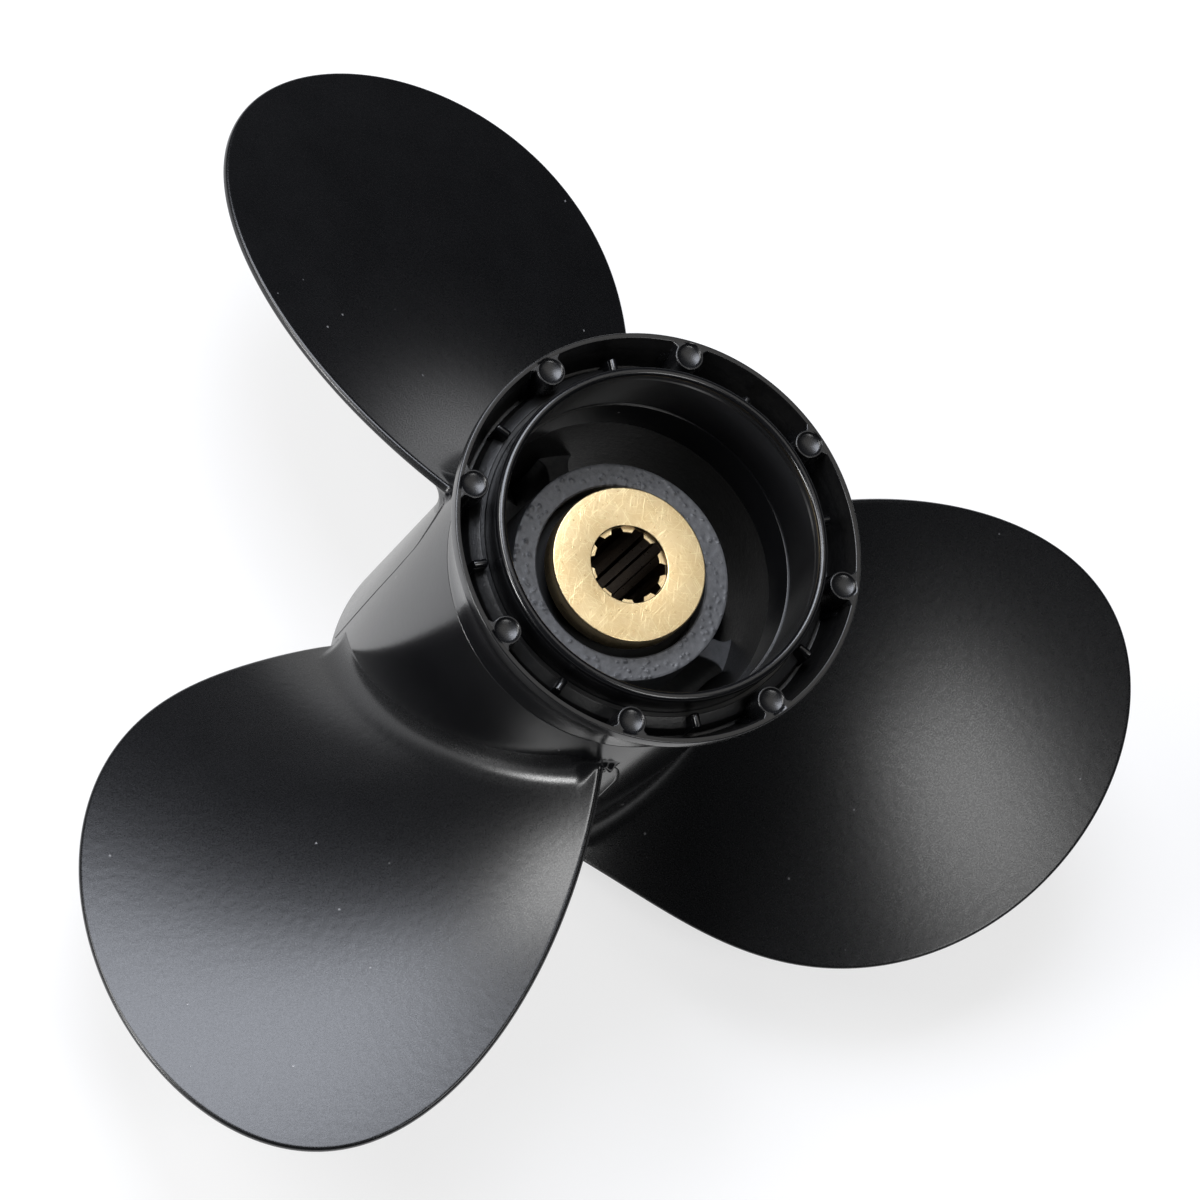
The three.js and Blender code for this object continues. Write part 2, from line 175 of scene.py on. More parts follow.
def barrel_radius(z):
    share = (z - BARREL_FRONT_Z) / (BARREL_AFT_Z - BARREL_FRONT_Z)
    return mix(BARREL_RADIUS_FRONT, BARREL_RADIUS_AFT, share)


def rounded(corners, step=math.radians(12)):
    """Closed outline from (x, y, fillet) corners, each rounded to its fillet radius."""
    points = []
    count = len(corners)
    for i, (x, y, fillet) in enumerate(corners):
        here = np.array([x, y])
        to_last = np.array(corners[i - 1][:2]) - here
        to_next = np.array(corners[(i + 1) % count][:2]) - here
        if not fillet:
            points.append(here)
            continue
        to_last /= np.linalg.norm(to_last)
        to_next /= np.linalg.norm(to_next)
        half = math.acos(np.clip(to_last @ to_next, -1, 1)) / 2
        bisector = (to_last + to_next) / np.linalg.norm(to_last + to_next)
        centre = here + bisector * fillet / math.sin(half)
        start = here + to_last * fillet / math.tan(half) - centre
        turn = math.pi - 2 * half
        if to_last[0] * to_next[1] - to_last[1] * to_next[0] > 0:
            turn = -turn
        steps = max(2, round(abs(turn) / step))
        for k in range(steps + 1):
            a = turn * k / steps
            spun = [start[0] * math.cos(a) - start[1] * math.sin(a),
                    start[0] * math.sin(a) + start[1] * math.cos(a)]
            points.append(centre + spun)
    return np.array(points)


def grid_faces(rows, columns, wrap_rows=False, wrap_columns=False):
    """Quads of a rows x columns grid of vertices, numbered row by row."""
    row_steps = rows if wrap_rows else rows - 1
    column_steps = columns if wrap_columns else columns - 1
    faces = []
    for i in range(row_steps):
        next_row = ((i + 1) % rows) * columns
        for j in range(column_steps):
            k = (j + 1) % columns
            faces.append((i * columns + j, i * columns + k, next_row + k, next_row + j))
    return faces


def piece(name, vertices, faces, sharp=math.radians(38)):
    """A mesh object with outward faces, smooth except along edges sharper than the angle."""
    mesh = bpy.data.meshes.new(name)
    mesh.from_pydata(np.asarray(vertices).tolist(), [], faces)
    bm = bmesh.new()
    bm.from_mesh(mesh)
    bmesh.ops.remove_doubles(bm, verts=bm.verts, dist=1e-7)
    bmesh.ops.recalc_face_normals(bm, faces=bm.faces)
    for face in bm.faces:
        face.smooth = len(face.verts) <= 4
    for edge in bm.edges:
        edge.smooth = edge.calc_face_angle(0) < sharp
    bm.to_mesh(mesh)
    bm.free()
    obj = bpy.data.objects.new(name, mesh)
    bpy.context.scene.collection.objects.link(obj)
    return obj


def finish_piece(obj, material, slot, body, *nodes):
    """Gives a piece its material and its body, and hides the CAD nodes it stands for. The slot is
    not used.
    """
    obj.data.materials.append(material)
    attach(obj, body)
    if nodes:
        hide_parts(*nodes)
    return obj


def turned(name, profile, segments=288, shape=None):
    """Turns a closed (radius, z) outline about Z. shape(points) may move the vertices."""
    angles = np.arange(segments) * TURN / segments
    radius, height = profile[:, 0:1], profile[:, 1:2]
    points = np.stack([radius * np.cos(angles), radius * np.sin(angles),
                       height + 0 * angles], axis=-1)
    if shape:
        points = shape(points)
    faces = grid_faces(len(profile), segments, wrap_rows=True, wrap_columns=True)
    return piece(name, points.reshape(-1, 3), faces)


def around(points, angle):
    """Points turned about Z."""
    c, s = math.cos(angle), math.sin(angle)
    points = np.asarray(points, float)
    x, y = points[..., 0], points[..., 1]
    return np.stack([c * x - s * y, s * x + c * y, points[..., 2]], axis=-1)


def swept(name, loops):
    """Closed solid through a list of loops with equal point counts, with flat ends."""
    loops = np.asarray(loops)
    rows, columns = loops.shape[:2]
    faces = grid_faces(rows, columns, wrap_columns=True)
    faces.append(tuple(range(columns)))
    faces.append(tuple((rows - 1) * columns + j for j in range(columns)))
    return piece(name, loops.reshape(-1, 3), faces)


def offset_loop(loop, distance):
    """A closed counterclockwise 2-D loop moved outwards, by one distance or one for each point."""
    along = np.roll(loop, -1, axis=0) - np.roll(loop, 1, axis=0)
    along /= np.linalg.norm(along, axis=1, keepdims=True)
    outwards = np.stack([along[:, 1], -along[:, 0]], axis=1)
    return loop + outwards * np.reshape(distance, (-1, 1))


# ---- Materials ----------------------------------------------------------------------------


class Shader:
    """A material's node tree, with short calls for the nodes used here."""

    def __init__(self, name):
        self.material = bpy.data.materials.new(name)
        self.material.use_nodes = True
        self.tree = self.material.node_tree
        self.surface = self.tree.nodes["Principled BSDF"]
        self.place = self.tree.nodes.new("ShaderNodeTexCoord").outputs["Object"]

    def link(self, output, socket):
        self.tree.links.new(output, socket)

    def feed(self, name, output):
        """Links a node's output to one of the surface's sockets."""
        self.link(output, self.surface.inputs[name])

    def set(self, **values):
        """Constant values on the surface's own sockets."""
        for name, value in values.items():
            self.surface.inputs[name.replace("_", " ")].default_value = value

    def noise(self, scale, detail=2.0, roughness=0.5, place=None):
        node = self.tree.nodes.new("ShaderNodeTexNoise")
        node.inputs["Scale"].default_value = scale
        node.inputs["Detail"].default_value = detail
        node.inputs["Roughness"].default_value = roughness
        self.link(place or self.place, node.inputs["Vector"])
        return node.outputs["Fac"]

    def stretched(self, angle, scale):
        """Coordinates turned about Z and stretched along one direction, for scratches."""
        node = self.tree.nodes.new("ShaderNodeMapping")
        node.vector_type = "TEXTURE"
        node.inputs["Rotation"].default_value = (0, 0, angle)
        node.inputs["Scale"].default_value = scale
        self.link(self.place, node.inputs["Vector"])
        return node.outputs["Vector"]

    def distance(self):
        """Distance from the object's origin."""
        node = self.tree.nodes.new("ShaderNodeVectorMath")
        node.operation = "LENGTH"
        self.link(self.place, node.inputs[0])
        return node.outputs["Value"]

    def cells(self, scale, output="Distance"):
        node = self.tree.nodes.new("ShaderNodeTexVoronoi")
        node.inputs["Scale"].default_value = scale
        self.link(self.place, node.inputs["Vector"])
        return node.outputs[output]

    def span(self, value, low, high, out_low=0.0, out_high=1.0):
        """Maps a value from one range to another, held at both ends."""
        node = self.tree.nodes.new("ShaderNodeMapRange")
        node.clamp = True
        self.link(value, node.inputs["Value"])
        node.inputs["From Min"].default_value = low
        node.inputs["From Max"].default_value = high
        node.inputs["To Min"].default_value = out_low
        node.inputs["To Max"].default_value = out_high
        return node.outputs["Result"]

    def math(self, operation, a, b):
        node = self.tree.nodes.new("ShaderNodeMath")
        node.operation = operation
        for socket, value in zip(node.inputs, (a, b)):
            if isinstance(value, (int, float)):
                socket.default_value = value
            else:
                self.link(value, socket)
        return node.outputs[0]

    def blend(self, share, dark, light):
        """Mixes two colours. A colour mix has them on sockets 6 and 7, and its result on 2."""
        node = self.tree.nodes.new("ShaderNodeMix")
        node.data_type = "RGBA"
        self.link(share, node.inputs["Factor"])
        for socket, value in ((node.inputs[6], dark), (node.inputs[7], light)):
            if isinstance(value, tuple):
                socket.default_value = (*value, 1)
            else:
                self.link(value, socket)
        return node.outputs[2]

    def bump(self, height, distance, strength=1.0, under=None):
        node = self.tree.nodes.new("ShaderNodeBump")
        node.inputs["Strength"].default_value = strength
        node.inputs["Distance"].default_value = distance
        self.link(height, node.inputs["Height"])
        if under:
            self.link(under, node.inputs["Normal"])
        return node.outputs["Normal"]


def dust_specks(shader, scale, share, size):
    """0 on most of the surface and 1 on tiny scattered specks."""
    near = shader.span(shader.cells(scale), size, size * 0.6)
    chosen = shader.tree.nodes.new("ShaderNodeSeparateColor")
    shader.link(shader.cells(scale, "Color"), chosen.inputs["Color"])
    picked = shader.math("LESS_THAN", chosen.outputs["Red"], share)
    return shader.math("MULTIPLY", near, picked)


def satin_black(name, smoothest, roughest, peel_height):
    """Black enamel over the casting: satin, with a fine orange peel and a little dust."""
    shader = Shader(name)
    tone = shader.noise(90, 3.0)
    specks = dust_specks(shader, 420, 0.03, 0.13)
    dark, light = (0.0026, 0.0027, 0.0032), (0.0040, 0.0041, 0.0047)
    base = shader.blend(shader.span(tone, 0.3, 0.7), dark, light)
    shader.feed("Base Color", shader.blend(specks, base, (0.16, 0.16, 0.165)))
    grain = shader.noise(2600, 2.0)
    shader.feed("Roughness", shader.span(grain, 0.3, 0.7, smoothest, roughest))
    peel = shader.bump(shader.noise(520, 1.0), peel_height, 0.35)
    fine = shader.bump(grain, 0.02 * MM, 0.25, peel)
    shader.feed("Normal", shader.bump(specks, 0.04 * MM, 0.5, fine))
    shader.set(Metallic=0.0, IOR=1.5)
    return shader.material


def cast_black():
    """The same enamel where the casting's skin under it is rough: channel, ledge and duct."""
    shader = Shader("cast_black_paint")
    lumps = shader.noise(900, 3.0, 0.6)
    dark, light = (0.003, 0.003, 0.0032), (0.007, 0.0068, 0.0065)
    shader.feed("Base Color", shader.blend(shader.span(lumps, 0.35, 0.7), dark, light))
    shader.feed("Roughness", shader.span(shader.noise(2600), 0.3, 0.7, 0.34, 0.46))
    skin = shader.bump(lumps, 0.12 * MM, 0.6)
    shader.feed("Normal", shader.bump(shader.noise(2600, 2.0), 0.03 * MM, 0.5, skin))
    shader.set(Metallic=0.0, IOR=1.5)
    return shader.material


def grey_casting():
    """Barrel and spokes: thin matt overspray on rough cast aluminium."""
    shader = Shader("dark_casting")
    lumps = shader.noise(700, 4.0, 0.6)
    dark, light = (0.052, 0.053, 0.056), (0.088, 0.090, 0.095)
    shader.feed("Base Color", shader.blend(shader.span(lumps, 0.3, 0.7), dark, light))
    grit = shader.noise(3200, 2.0)
    shader.feed("Roughness", shader.span(grit, 0.3, 0.7, 0.42, 0.58))
    skin = shader.bump(lumps, 0.10 * MM, 0.5)
    shader.feed("Normal", shader.bump(grit, 0.05 * MM, 0.6, skin))
    shader.set(Metallic=0.0, IOR=1.5)
    return shader.material


def rubber():
    """Moulded black rubber, matt, with a faint bloom."""
    shader = Shader("black_rubber")
    bloom = shader.noise(260, 3.0)
    dark, light = (0.008, 0.008, 0.008), (0.016, 0.0155, 0.015)
    shader.feed("Base Color", shader.blend(shader.span(bloom, 0.35, 0.7), dark, light))
    shader.feed("Roughness", shader.span(bloom, 0.3, 0.7, 0.68, 0.85))
    shader.feed("Normal", shader.bump(shader.noise(1500, 3.0), 0.05 * MM, 0.5))
    shader.set(Metallic=0.0, IOR=1.5)
    return shader.material


def brass(name, dark, light):
    """Faced brass, with fine scratches that run every way; the bore's copy is far darker, as
    painted shade down in the hole.
    """
    shader = Shader(name)
    scratches = None
    for angle, length in ((0.3, 22), (0.9, 30), (1.4, 18), (2.2, 26), (2.8, 20)):
        lines = shader.noise(4200, 2.0, 0.6, shader.stretched(angle, (1, length, 1)))
        lines = shader.span(lines, 0.60, 0.72)
        scratches = shader.math("MAXIMUM", scratches, lines) if scratches else lines
    clouds = shader.noise(120, 4.0, 0.6)
    base = shader.blend(shader.span(clouds, 0.3, 0.7), dark, light)
    bright = tuple(min(1.6 * c, 0.95) for c in light)
    faint = shader.math("MULTIPLY", scratches, 0.45)
    shader.feed("Base Color", shader.blend(faint, base, bright))
    shader.feed("Roughness", shader.span(shader.noise(1400, 3.0), 0.3, 0.7, 0.27, 0.38))
    shader.feed("Normal", shader.bump(scratches, 0.012 * MM, 0.6))
    shader.set(Metallic=1.0)
    return shader.material


PAINT = satin_black("satin_black_paint", 0.16, 0.22, 0.03 * MM)
BLADE_PAINT = satin_black("satin_black_blades", 0.25, 0.31, 0.06 * MM)
ROUGH_PAINT = cast_black()
CASTING = grey_casting()
RUBBER = rubber()
BRASS = brass("brass", (0.60, 0.44, 0.225), (0.68, 0.54, 0.315))
# The bore's brass is painted dark: painted shade inside the splined hole.
SHADED_BORE_BRASS = brass("brass_bore_painted_shade", (0.05, 0.032, 0.015), (0.11, 0.07, 0.035))

# ---- Hub and ring -------------------------------------------------------------------------


def rough_inside(obj, radius, low):
    """Rough paint on the faces that lie within the radius and above the height low."""
    obj.data.materials.append(ROUGH_PAINT)
    for polygon in obj.data.polygons:
        centre = polygon.center
        inside = math.hypot(centre.x, centre.y) < radius and centre.z > low
        polygon.material_index = 1 if inside else 0


def outer_hub():
    edge = SEAM_ROUND
    gap = 0.01 * MM
    profile = rounded([
        (duct_radius(0), 0, 0.3 * MM),
        (hub_radius(0), 0, 0.5 * MM),
        (hub_radius(SEAM_Z), SEAM_Z - gap, edge),
        (duct_radius(SEAM_Z), SEAM_Z - gap, 0),
        (duct_radius(THROAT_Z), THROAT_Z, 0),
    ])
    obj = turned("outer_hub_shell", profile)
    finish_piece(obj, PAINT, "satin_black_paint", "casting", "outer_hub")
    rough_inside(obj, hub_radius(SEAM_Z) - 1 * MM, 0)


def diffuser_ring():
    """The flared ring in one turned piece: flare, lip, channel and ledge."""
    edge = SEAM_ROUND
    gap = 0.01 * MM
    steps = 14
    flare = [(flare_radius(z), z, 0) for z in np.linspace(SEAM_Z, LIP_FOOT_Z, steps)[1:-1]]
    lip_inner = LIP_RADIUS - LIP_THICKNESS
    seat = COLLAR_RADIUS - 0.3 * MM
    profile = rounded([
        (duct_radius(SEAM_Z), SEAM_Z + gap, 0),
        (hub_radius(SEAM_Z), SEAM_Z + gap, edge),
        *flare,
        (flare_radius(LIP_FOOT_Z), LIP_FOOT_Z, 0.9 * MM),
        (LIP_RADIUS, RIM_Z - LIP_HEIGHT + 0.3 * MM, 0.6 * MM),
        (LIP_RADIUS, RIM_Z, 0.26 * MM),
        (lip_inner, RIM_Z, 0.2 * MM),
        (lip_inner - 0.7 * MM, RIM_Z - LIP_HEIGHT - 1.5 * MM, 2.0 * MM),
        (LEDGE_RADIUS + 3.7 * MM, CHANNEL_FLOOR_Z + 0.4 * MM, 0.5 * MM),
        (LEDGE_RADIUS + 2.7 * MM, CHANNEL_FLOOR_Z + 0.4 * MM, 0.4 * MM),
        (LEDGE_RADIUS + 2.1 * MM, LEDGE_Z - 1.1 * MM, 0.5 * MM),
        (LEDGE_RADIUS, LEDGE_Z + 0.1 * MM, 0.13 * MM),
        (LEDGE_RADIUS - 0.15 * MM, LEDGE_Z - 0.12 * MM, 0),
        (COLLAR_RADIUS - 0.1 * MM, LEDGE_Z - 0.16 * MM, 0),
        (seat, LEDGE_Z - 2 * MM, 0),
        (seat, STEP_Z, 0),
        (duct_radius(STEP_Z), STEP_Z, 0.1 * MM),
    ])
    ring = turned("diffuser_ring_shell", profile)
    dish_cuts(ring)
    finish_piece(ring, PAINT, "satin_black_paint", "casting", "diffuser_ring", "lip_wall")
    rough_inside(ring, LIP_RADIUS - LIP_THICKNESS, CHANNEL_FLOOR_Z - GAP)


def dish_profile(depth_below):
    """(radius, depth) points of a pad's dish, from its middle to its rim."""
    wall = 0.25 * MM
    floor = DISH_RADIUS - wall
    points = [(floor * t, DISH_DEPTH * (1 - 0.5 * t * t)) for t in np.linspace(0, 0.95, 10)]
    knee = points[-1]
    for t in np.linspace(0.2, 1, 6):
        turn = t * math.pi / 2
        points.append((mix(knee[0], DISH_RADIUS, math.sin(turn)), knee[1] * (1 - t) ** 1.3))
    return [(r, d + depth_below) for r, d in points]


def dish_cuts(ring):
    """Cuts the dishes into the lip, a hair deeper than the pads' own surface."""
    below = 0.02 * MM
    columns = 40
    angles = np.arange(columns) * TURN / columns
    vertices, faces = [], []
    for i in range(PAD_COUNT):
        turn = FIRST_PAD + i * TURN / PAD_COUNT
        profile = dish_profile(below) + [(DISH_RADIUS + below, -1 * MM), (0, -1 * MM)]
        loops = [[(PAD_PITCH_RADIUS + r * math.cos(a), r * math.sin(a), RIM_Z - d) for a in angles]
                 for r, d in profile]
        start = len(vertices)
        points = around(np.array(loops).reshape(-1, 3), turn)
        vertices.extend(points.tolist())
        faces.extend(tuple(start + k for k in face)
                     for face in grid_faces(len(profile), columns, wrap_columns=True))
    cutter = piece("dish_cutter", vertices, faces)
    cut = ring.modifiers.new("dishes", "BOOLEAN")
    cut.operation = "DIFFERENCE"
    cut.solver = "EXACT"
    cut.object = cutter
    apply_modifiers(ring)
    bpy.data.objects.remove(cutter)


def apply_modifiers(obj):
    """Replaces a piece's mesh by its evaluated one."""
    depsgraph = bpy.context.evaluated_depsgraph_get()
    mesh = bpy.data.meshes.new_from_object(obj.evaluated_get(depsgraph))
    obj.modifiers.clear()
    obj.data = mesh


def duct_collar():
    """Thin wall with a rounded bead on top and a fillet at its foot on the ledge."""
    bead = (COLLAR_RADIUS - COLLAR_INNER_RADIUS) / 2
    thinner = 0.18 * MM
    profile = rounded([
        (DUCT_RADIUS_STEP + 0.28 * MM, STEP_Z + 0.01 * MM, 0),
        (COLLAR_RADIUS - 0.3 * MM, STEP_Z + 0.01 * MM, 0),
        (COLLAR_RADIUS - 0.3 * MM, LEDGE_Z - 1 * MM, 0),
        (COLLAR_RADIUS + 0.2 * MM, LEDGE_Z - 0.5 * MM, 0),
        (COLLAR_RADIUS - thinner, LEDGE_Z + 0.1 * MM, 0.3 * MM),
        (COLLAR_RADIUS - thinner, COLLAR_TOP_Z - 2.4 * MM, 1.0 * MM),
        (COLLAR_RADIUS, COLLAR_TOP_Z - 1.6 * MM, 0.5 * MM),
        (COLLAR_RADIUS, COLLAR_TOP_Z, bead),
        (COLLAR_INNER_RADIUS, COLLAR_TOP_Z, 0.85 * bead),
        (COLLAR_INNER_RADIUS, COLLAR_TOP_Z - 2.2 * MM, 0.8 * MM),
        (COLLAR_INNER_RADIUS + thinner, COLLAR_TOP_Z - 3.4 * MM, 0.8 * MM),
    ])
    obj = turned("duct_collar_shell", profile)
    finish_piece(obj, PAINT, "satin_black_paint", "casting", "duct_collar")


def pad_outline(columns):
    """Plan of a pad round its own centre: a circle whose outer side runs into the lip."""
    lip_inner = LIP_RADIUS - LIP_THICKNESS
    neck = 0.9 * MM
    hidden = lip_inner + 0.75 * MM - PAD_PITCH_RADIUS
    # centre of the neck's fillet: a neck away from the pad's circle and from the lip's inside
    reach = PAD_RADIUS + neck
    lip_reach = lip_inner - neck
    x = (lip_reach ** 2 - PAD_PITCH_RADIUS ** 2 - reach ** 2) / (2 * PAD_PITCH_RADIUS)
    y = math.sqrt(reach ** 2 - x ** 2)
    from_pad = math.atan2(y, x)
    outwards = lip_inner / lip_reach
    end_angle = math.atan2(y * outwards, (PAD_PITCH_RADIUS + x) * outwards - PAD_PITCH_RADIUS)
    outline = []
    for a in np.linspace(-math.pi, math.pi, columns, endpoint=False):
        side = abs(a)
        if side > from_pad:
            r = PAD_RADIUS
        elif side > end_angle:
            along = x * math.cos(side) + y * math.sin(side)
            r = along - math.sqrt(max(along ** 2 - (x * x + y * y - neck ** 2), 0))
        else:
            rise = PAD_PITCH_RADIUS * math.cos(side)
            full = PAD_PITCH_RADIUS + hidden
            r = -rise + math.sqrt(rise ** 2 - PAD_PITCH_RADIUS ** 2 + full ** 2)
        outline.append((r * math.cos(a), r * math.sin(a)))
    return np.array(outline)


def ring_wall(z):
    """Outside radius of the ring at a height, from the seam up to the rim."""
    if z < LIP_FOOT_Z:
        return flare_radius(z)
    return mix(flare_radius(LIP_FOOT_Z), LIP_RADIUS, min((z - LIP_FOOT_Z) / (1.5 * MM), 1))


def kept_inside(plan, z):
    """A pad's plan, moved in where it would come out through the ring's wall."""
    limit = ring_wall(z) - 0.45 * MM
    radius = np.hypot(PAD_PITCH_RADIUS + plan[:, 0], plan[:, 1])
    pulled = plan.copy()
    pulled[:, 0] += np.minimum(limit - radius, 0)
    return pulled


def ejector_pad(index):
    """Pad with its dish; the rim of the dish is a thin rounded ring."""
    columns = 120
    edge = 0.2 * MM
    top = RIM_Z - 0.004 * MM
    outline = pad_outline(columns)
    angles = np.arctan2(outline[:, 1], outline[:, 0])
    ring = np.stack([np.cos(angles), np.sin(angles)], axis=1)
    loops = []
    for z in np.linspace(CHANNEL_FLOOR_Z - 0.2 * MM, top - edge, 12):
        loops.append((kept_inside(outline, z), z))
    for turn in np.radians([18, 36, 54, 72, 90]):
        inset = offset_loop(outline, -edge * (1 - math.cos(turn)))
        loops.append((inset, top - edge * (1 - math.sin(turn))))
    for r, depth in reversed(dish_profile(0)):
        loops.append((ring * r, top - depth))
    points = [[(PAD_PITCH_RADIUS + x, y, z) for x, y in plan] for plan, z in loops]
    angle = FIRST_PAD + index * TURN / PAD_COUNT
    name = f"ejector_pad_{index + 1}"
    obj = swept(name + "_cup", around(points, angle))
    finish_piece(obj, BLADE_PAINT, "satin_black_paint", "casting", name)


def channel_rib(index):
    """Short radial stub with a rounded top and a rounded outer end."""
    half = 0.85 * MM
    foot = CHANNEL_FLOOR_Z + 1 * MM
    round_end = 0.35 * MM
    loops = []
    for middle, way in ((RIB_START_RADIUS + round_end, -1), (RIB_END_RADIUS - round_end, 1)):
        turns = np.linspace(1, 0, 6) if way < 0 else np.linspace(0, 1, 6)
        for bend in turns * math.pi / 2:
            inset = round_end * (1 - math.cos(bend))
            wide = half - inset
            top = RIB_TOP_Z - inset
            section = [(-wide - 0.35 * MM, foot), (-wide - 0.04 * MM, top - half)]
            for a in np.linspace(math.pi, 0, 13):
                section.append((wide * math.cos(a), top - half + half * math.sin(a)))
            section += [(wide + 0.04 * MM, top - half), (wide + 0.35 * MM, foot)]
            radius = middle + way * round_end * math.sin(bend)
            loops.append([(radius, y, z) for y, z in section])
    angle = FIRST_PAD + (index + 0.5) * TURN / PAD_COUNT
    name = f"channel_rib_{index + 1}"
    obj = swept(name + "_stub", around(loops, angle))
    finish_piece(obj, PAINT, "satin_black_paint", "casting", name)


# ---- Barrel and spokes --------------------------------------------------------------------


def pimples(points, seed, count, low, high, height):
    """Raises seeded round pimples on an annulus of points between two radii."""
    draw = np.random.default_rng(seed)
    radii = np.sqrt(draw.uniform(low ** 2, high ** 2, count))
    angles = draw.uniform(0, TURN, count)
    sizes = draw.uniform(0.16, 0.42, count) * MM
    heights = draw.uniform(0.4, 1.0, count) * height
    for r, a, size, tall in zip(radii, angles, sizes, heights):
        away = np.hypot(points[..., 0] - r * math.cos(a), points[..., 1] - r * math.sin(a))
        points[..., 2] += tall * np.exp(-(away / size) ** 2)
    return points


def inner_barrel():
    """Barrel with its rough as-cast aft face."""
    rows = 36
    edge = 0.55 * MM
    outer = barrel_radius(BARREL_AFT_Z)
    face_radii = np.linspace(outer - edge, BARREL_BORE_RADIUS + 0.3 * MM, rows)
    face = [(r, BARREL_AFT_Z, 0) for r in face_radii]
    profile = rounded([
        (BARREL_BORE_RADIUS, BARREL_FRONT_Z, 0.3 * MM),
        (barrel_radius(BARREL_FRONT_Z), BARREL_FRONT_Z, 0.5 * MM),
        (outer, BARREL_AFT_Z - edge, 0),
        (outer - 0.15 * MM, BARREL_AFT_Z - 0.17 * MM, 0),
        *face,
        (BARREL_BORE_RADIUS, BARREL_AFT_Z - 0.3 * MM, 0),
    ])

    def rough(points):
        top = points[..., 2] > BARREL_AFT_Z - 1e-6
        raised = pimples(points.copy(), 7, 230, BARREL_BORE_RADIUS, outer, 0.3 * MM)
        waves = np.vectorize(lambda x, y: noise.noise(Vector((x, y, 0)) * 900))
        grain = np.zeros(points.shape[:2])
        grain[top] = waves(points[top][:, 0], points[top][:, 1]) * 0.05 * MM
        points[..., 2] = np.where(top, raised[..., 2] + grain - 0.03 * MM, points[..., 2])
        return points

    obj = turned("inner_barrel_casting", profile, segments=720, shape=rough)
    finish_piece(obj, CASTING, "dark_casting", "casting", "inner_barrel")


def spoke(index):
    """Web with concave sides between the barrel and the hub, and a rounded aft end."""
    inner = barrel_radius(SPOKE_AFT_Z) - 1.2 * MM
    outer = duct_radius(SPOKE_AFT_Z) + 0.6 * MM
    edge = 0.35 * MM

    def outline(inset):
        """The web in plan, with its concave sides moved in."""
        fillet = SPOKE_FILLET
        steps = 14
        side = SPOKE_THICKNESS / 2 + fillet - inset
        upper = []
        for a in np.linspace(math.pi, math.pi / 2, steps):
            upper.append((inner + fillet * (1 + math.cos(a)), side - fillet * math.sin(a)))
        for a in np.linspace(math.pi / 2, 0, steps):
            upper.append((outer - fillet * (1 - math.cos(a)), side - fillet * math.sin(a)))
        return np.array(upper + [(x, -y) for x, y in reversed(upper)])

    loops = [(outline(0), SPOKE_FRONT_Z), (outline(0), SPOKE_AFT_Z - edge)]
    for turn in np.radians([30, 60, 90]):
        inset = edge * (1 - math.cos(turn))
        loops.append((outline(inset), SPOKE_AFT_Z - edge * (1 - math.sin(turn))))
    points = [[(x, y, z) for x, y in plan] for plan, z in loops]
    name = f"spoke_{index + 1}"
    angle = FIRST_BLADE + index * TURN / BLADE_COUNT + SPOKE_LEAD
    obj = swept(name + "_web", around(points, angle))
    finish_piece(obj, CASTING, "dark_casting", "casting", name)


# ---- Blades -------------------------------------------------------------------------------


def slope_of(coefficients):
    """Coefficients of a polynomial's derivative."""
    return [c * (i + 1) for i, c in enumerate(coefficients[1:])]


def distance_to_edge(s, w):
    """Near the outline, the distance to it: (1 - s)(1 - w w) divided by its own slope."""
    span = PROP_RADIUS - BLADE_BASE_RADIUS
    root = np.sqrt(1 - s)
    width = polynomial(BLADE_CHORD, s)
    width_slope = polynomial(slope_of(BLADE_CHORD), s)
    skew_slope = polynomial(slope_of(BLADE_SKEW), s)
    along_chord = -4 * w * root / width
    along_radius = (w * w - 1 + 4 * w * skew_slope * root / width
                    + 2 * w * w * ((1 - s) * width_slope / width - 0.5)) / span
    return (1 - s) * (1 - w * w) / np.hypot(along_chord, along_radius)


def blade_points(s, w, face):
    """Angle and height on the blade at share s and chord share w; face is 1 aft, -1 forward."""
    edge = BLADE_EDGE_THICKNESS / 2
    inside = np.minimum(distance_to_edge(s, w) / edge, 1)
    square = 2.6
    round_off = edge * (1 - (1 - inside) ** square) ** (1 / square)
    body = (BLADE_ROOT_THICKNESS - BLADE_EDGE_THICKNESS) * np.maximum(1 - s, 0) ** 1.3
    lift = np.where(face > 0, round_off, -round_off - body * (1 - w * w))
    radius = mix(BLADE_BASE_RADIUS, PROP_RADIUS, s)
    along = polynomial(BLADE_SKEW, s) + w * polynomial(BLADE_CHORD, s) * np.sqrt(1 - s) / 2
    lean = np.arctan2(polynomial(BLADE_PITCH, s), TURN * radius)
    angle = (along * np.cos(lean) - lift * np.sin(lean)) / radius
    height = polynomial(BLADE_MIDDLE_Z, s) + along * np.sin(lean) + lift * np.cos(lean)
    return angle, height


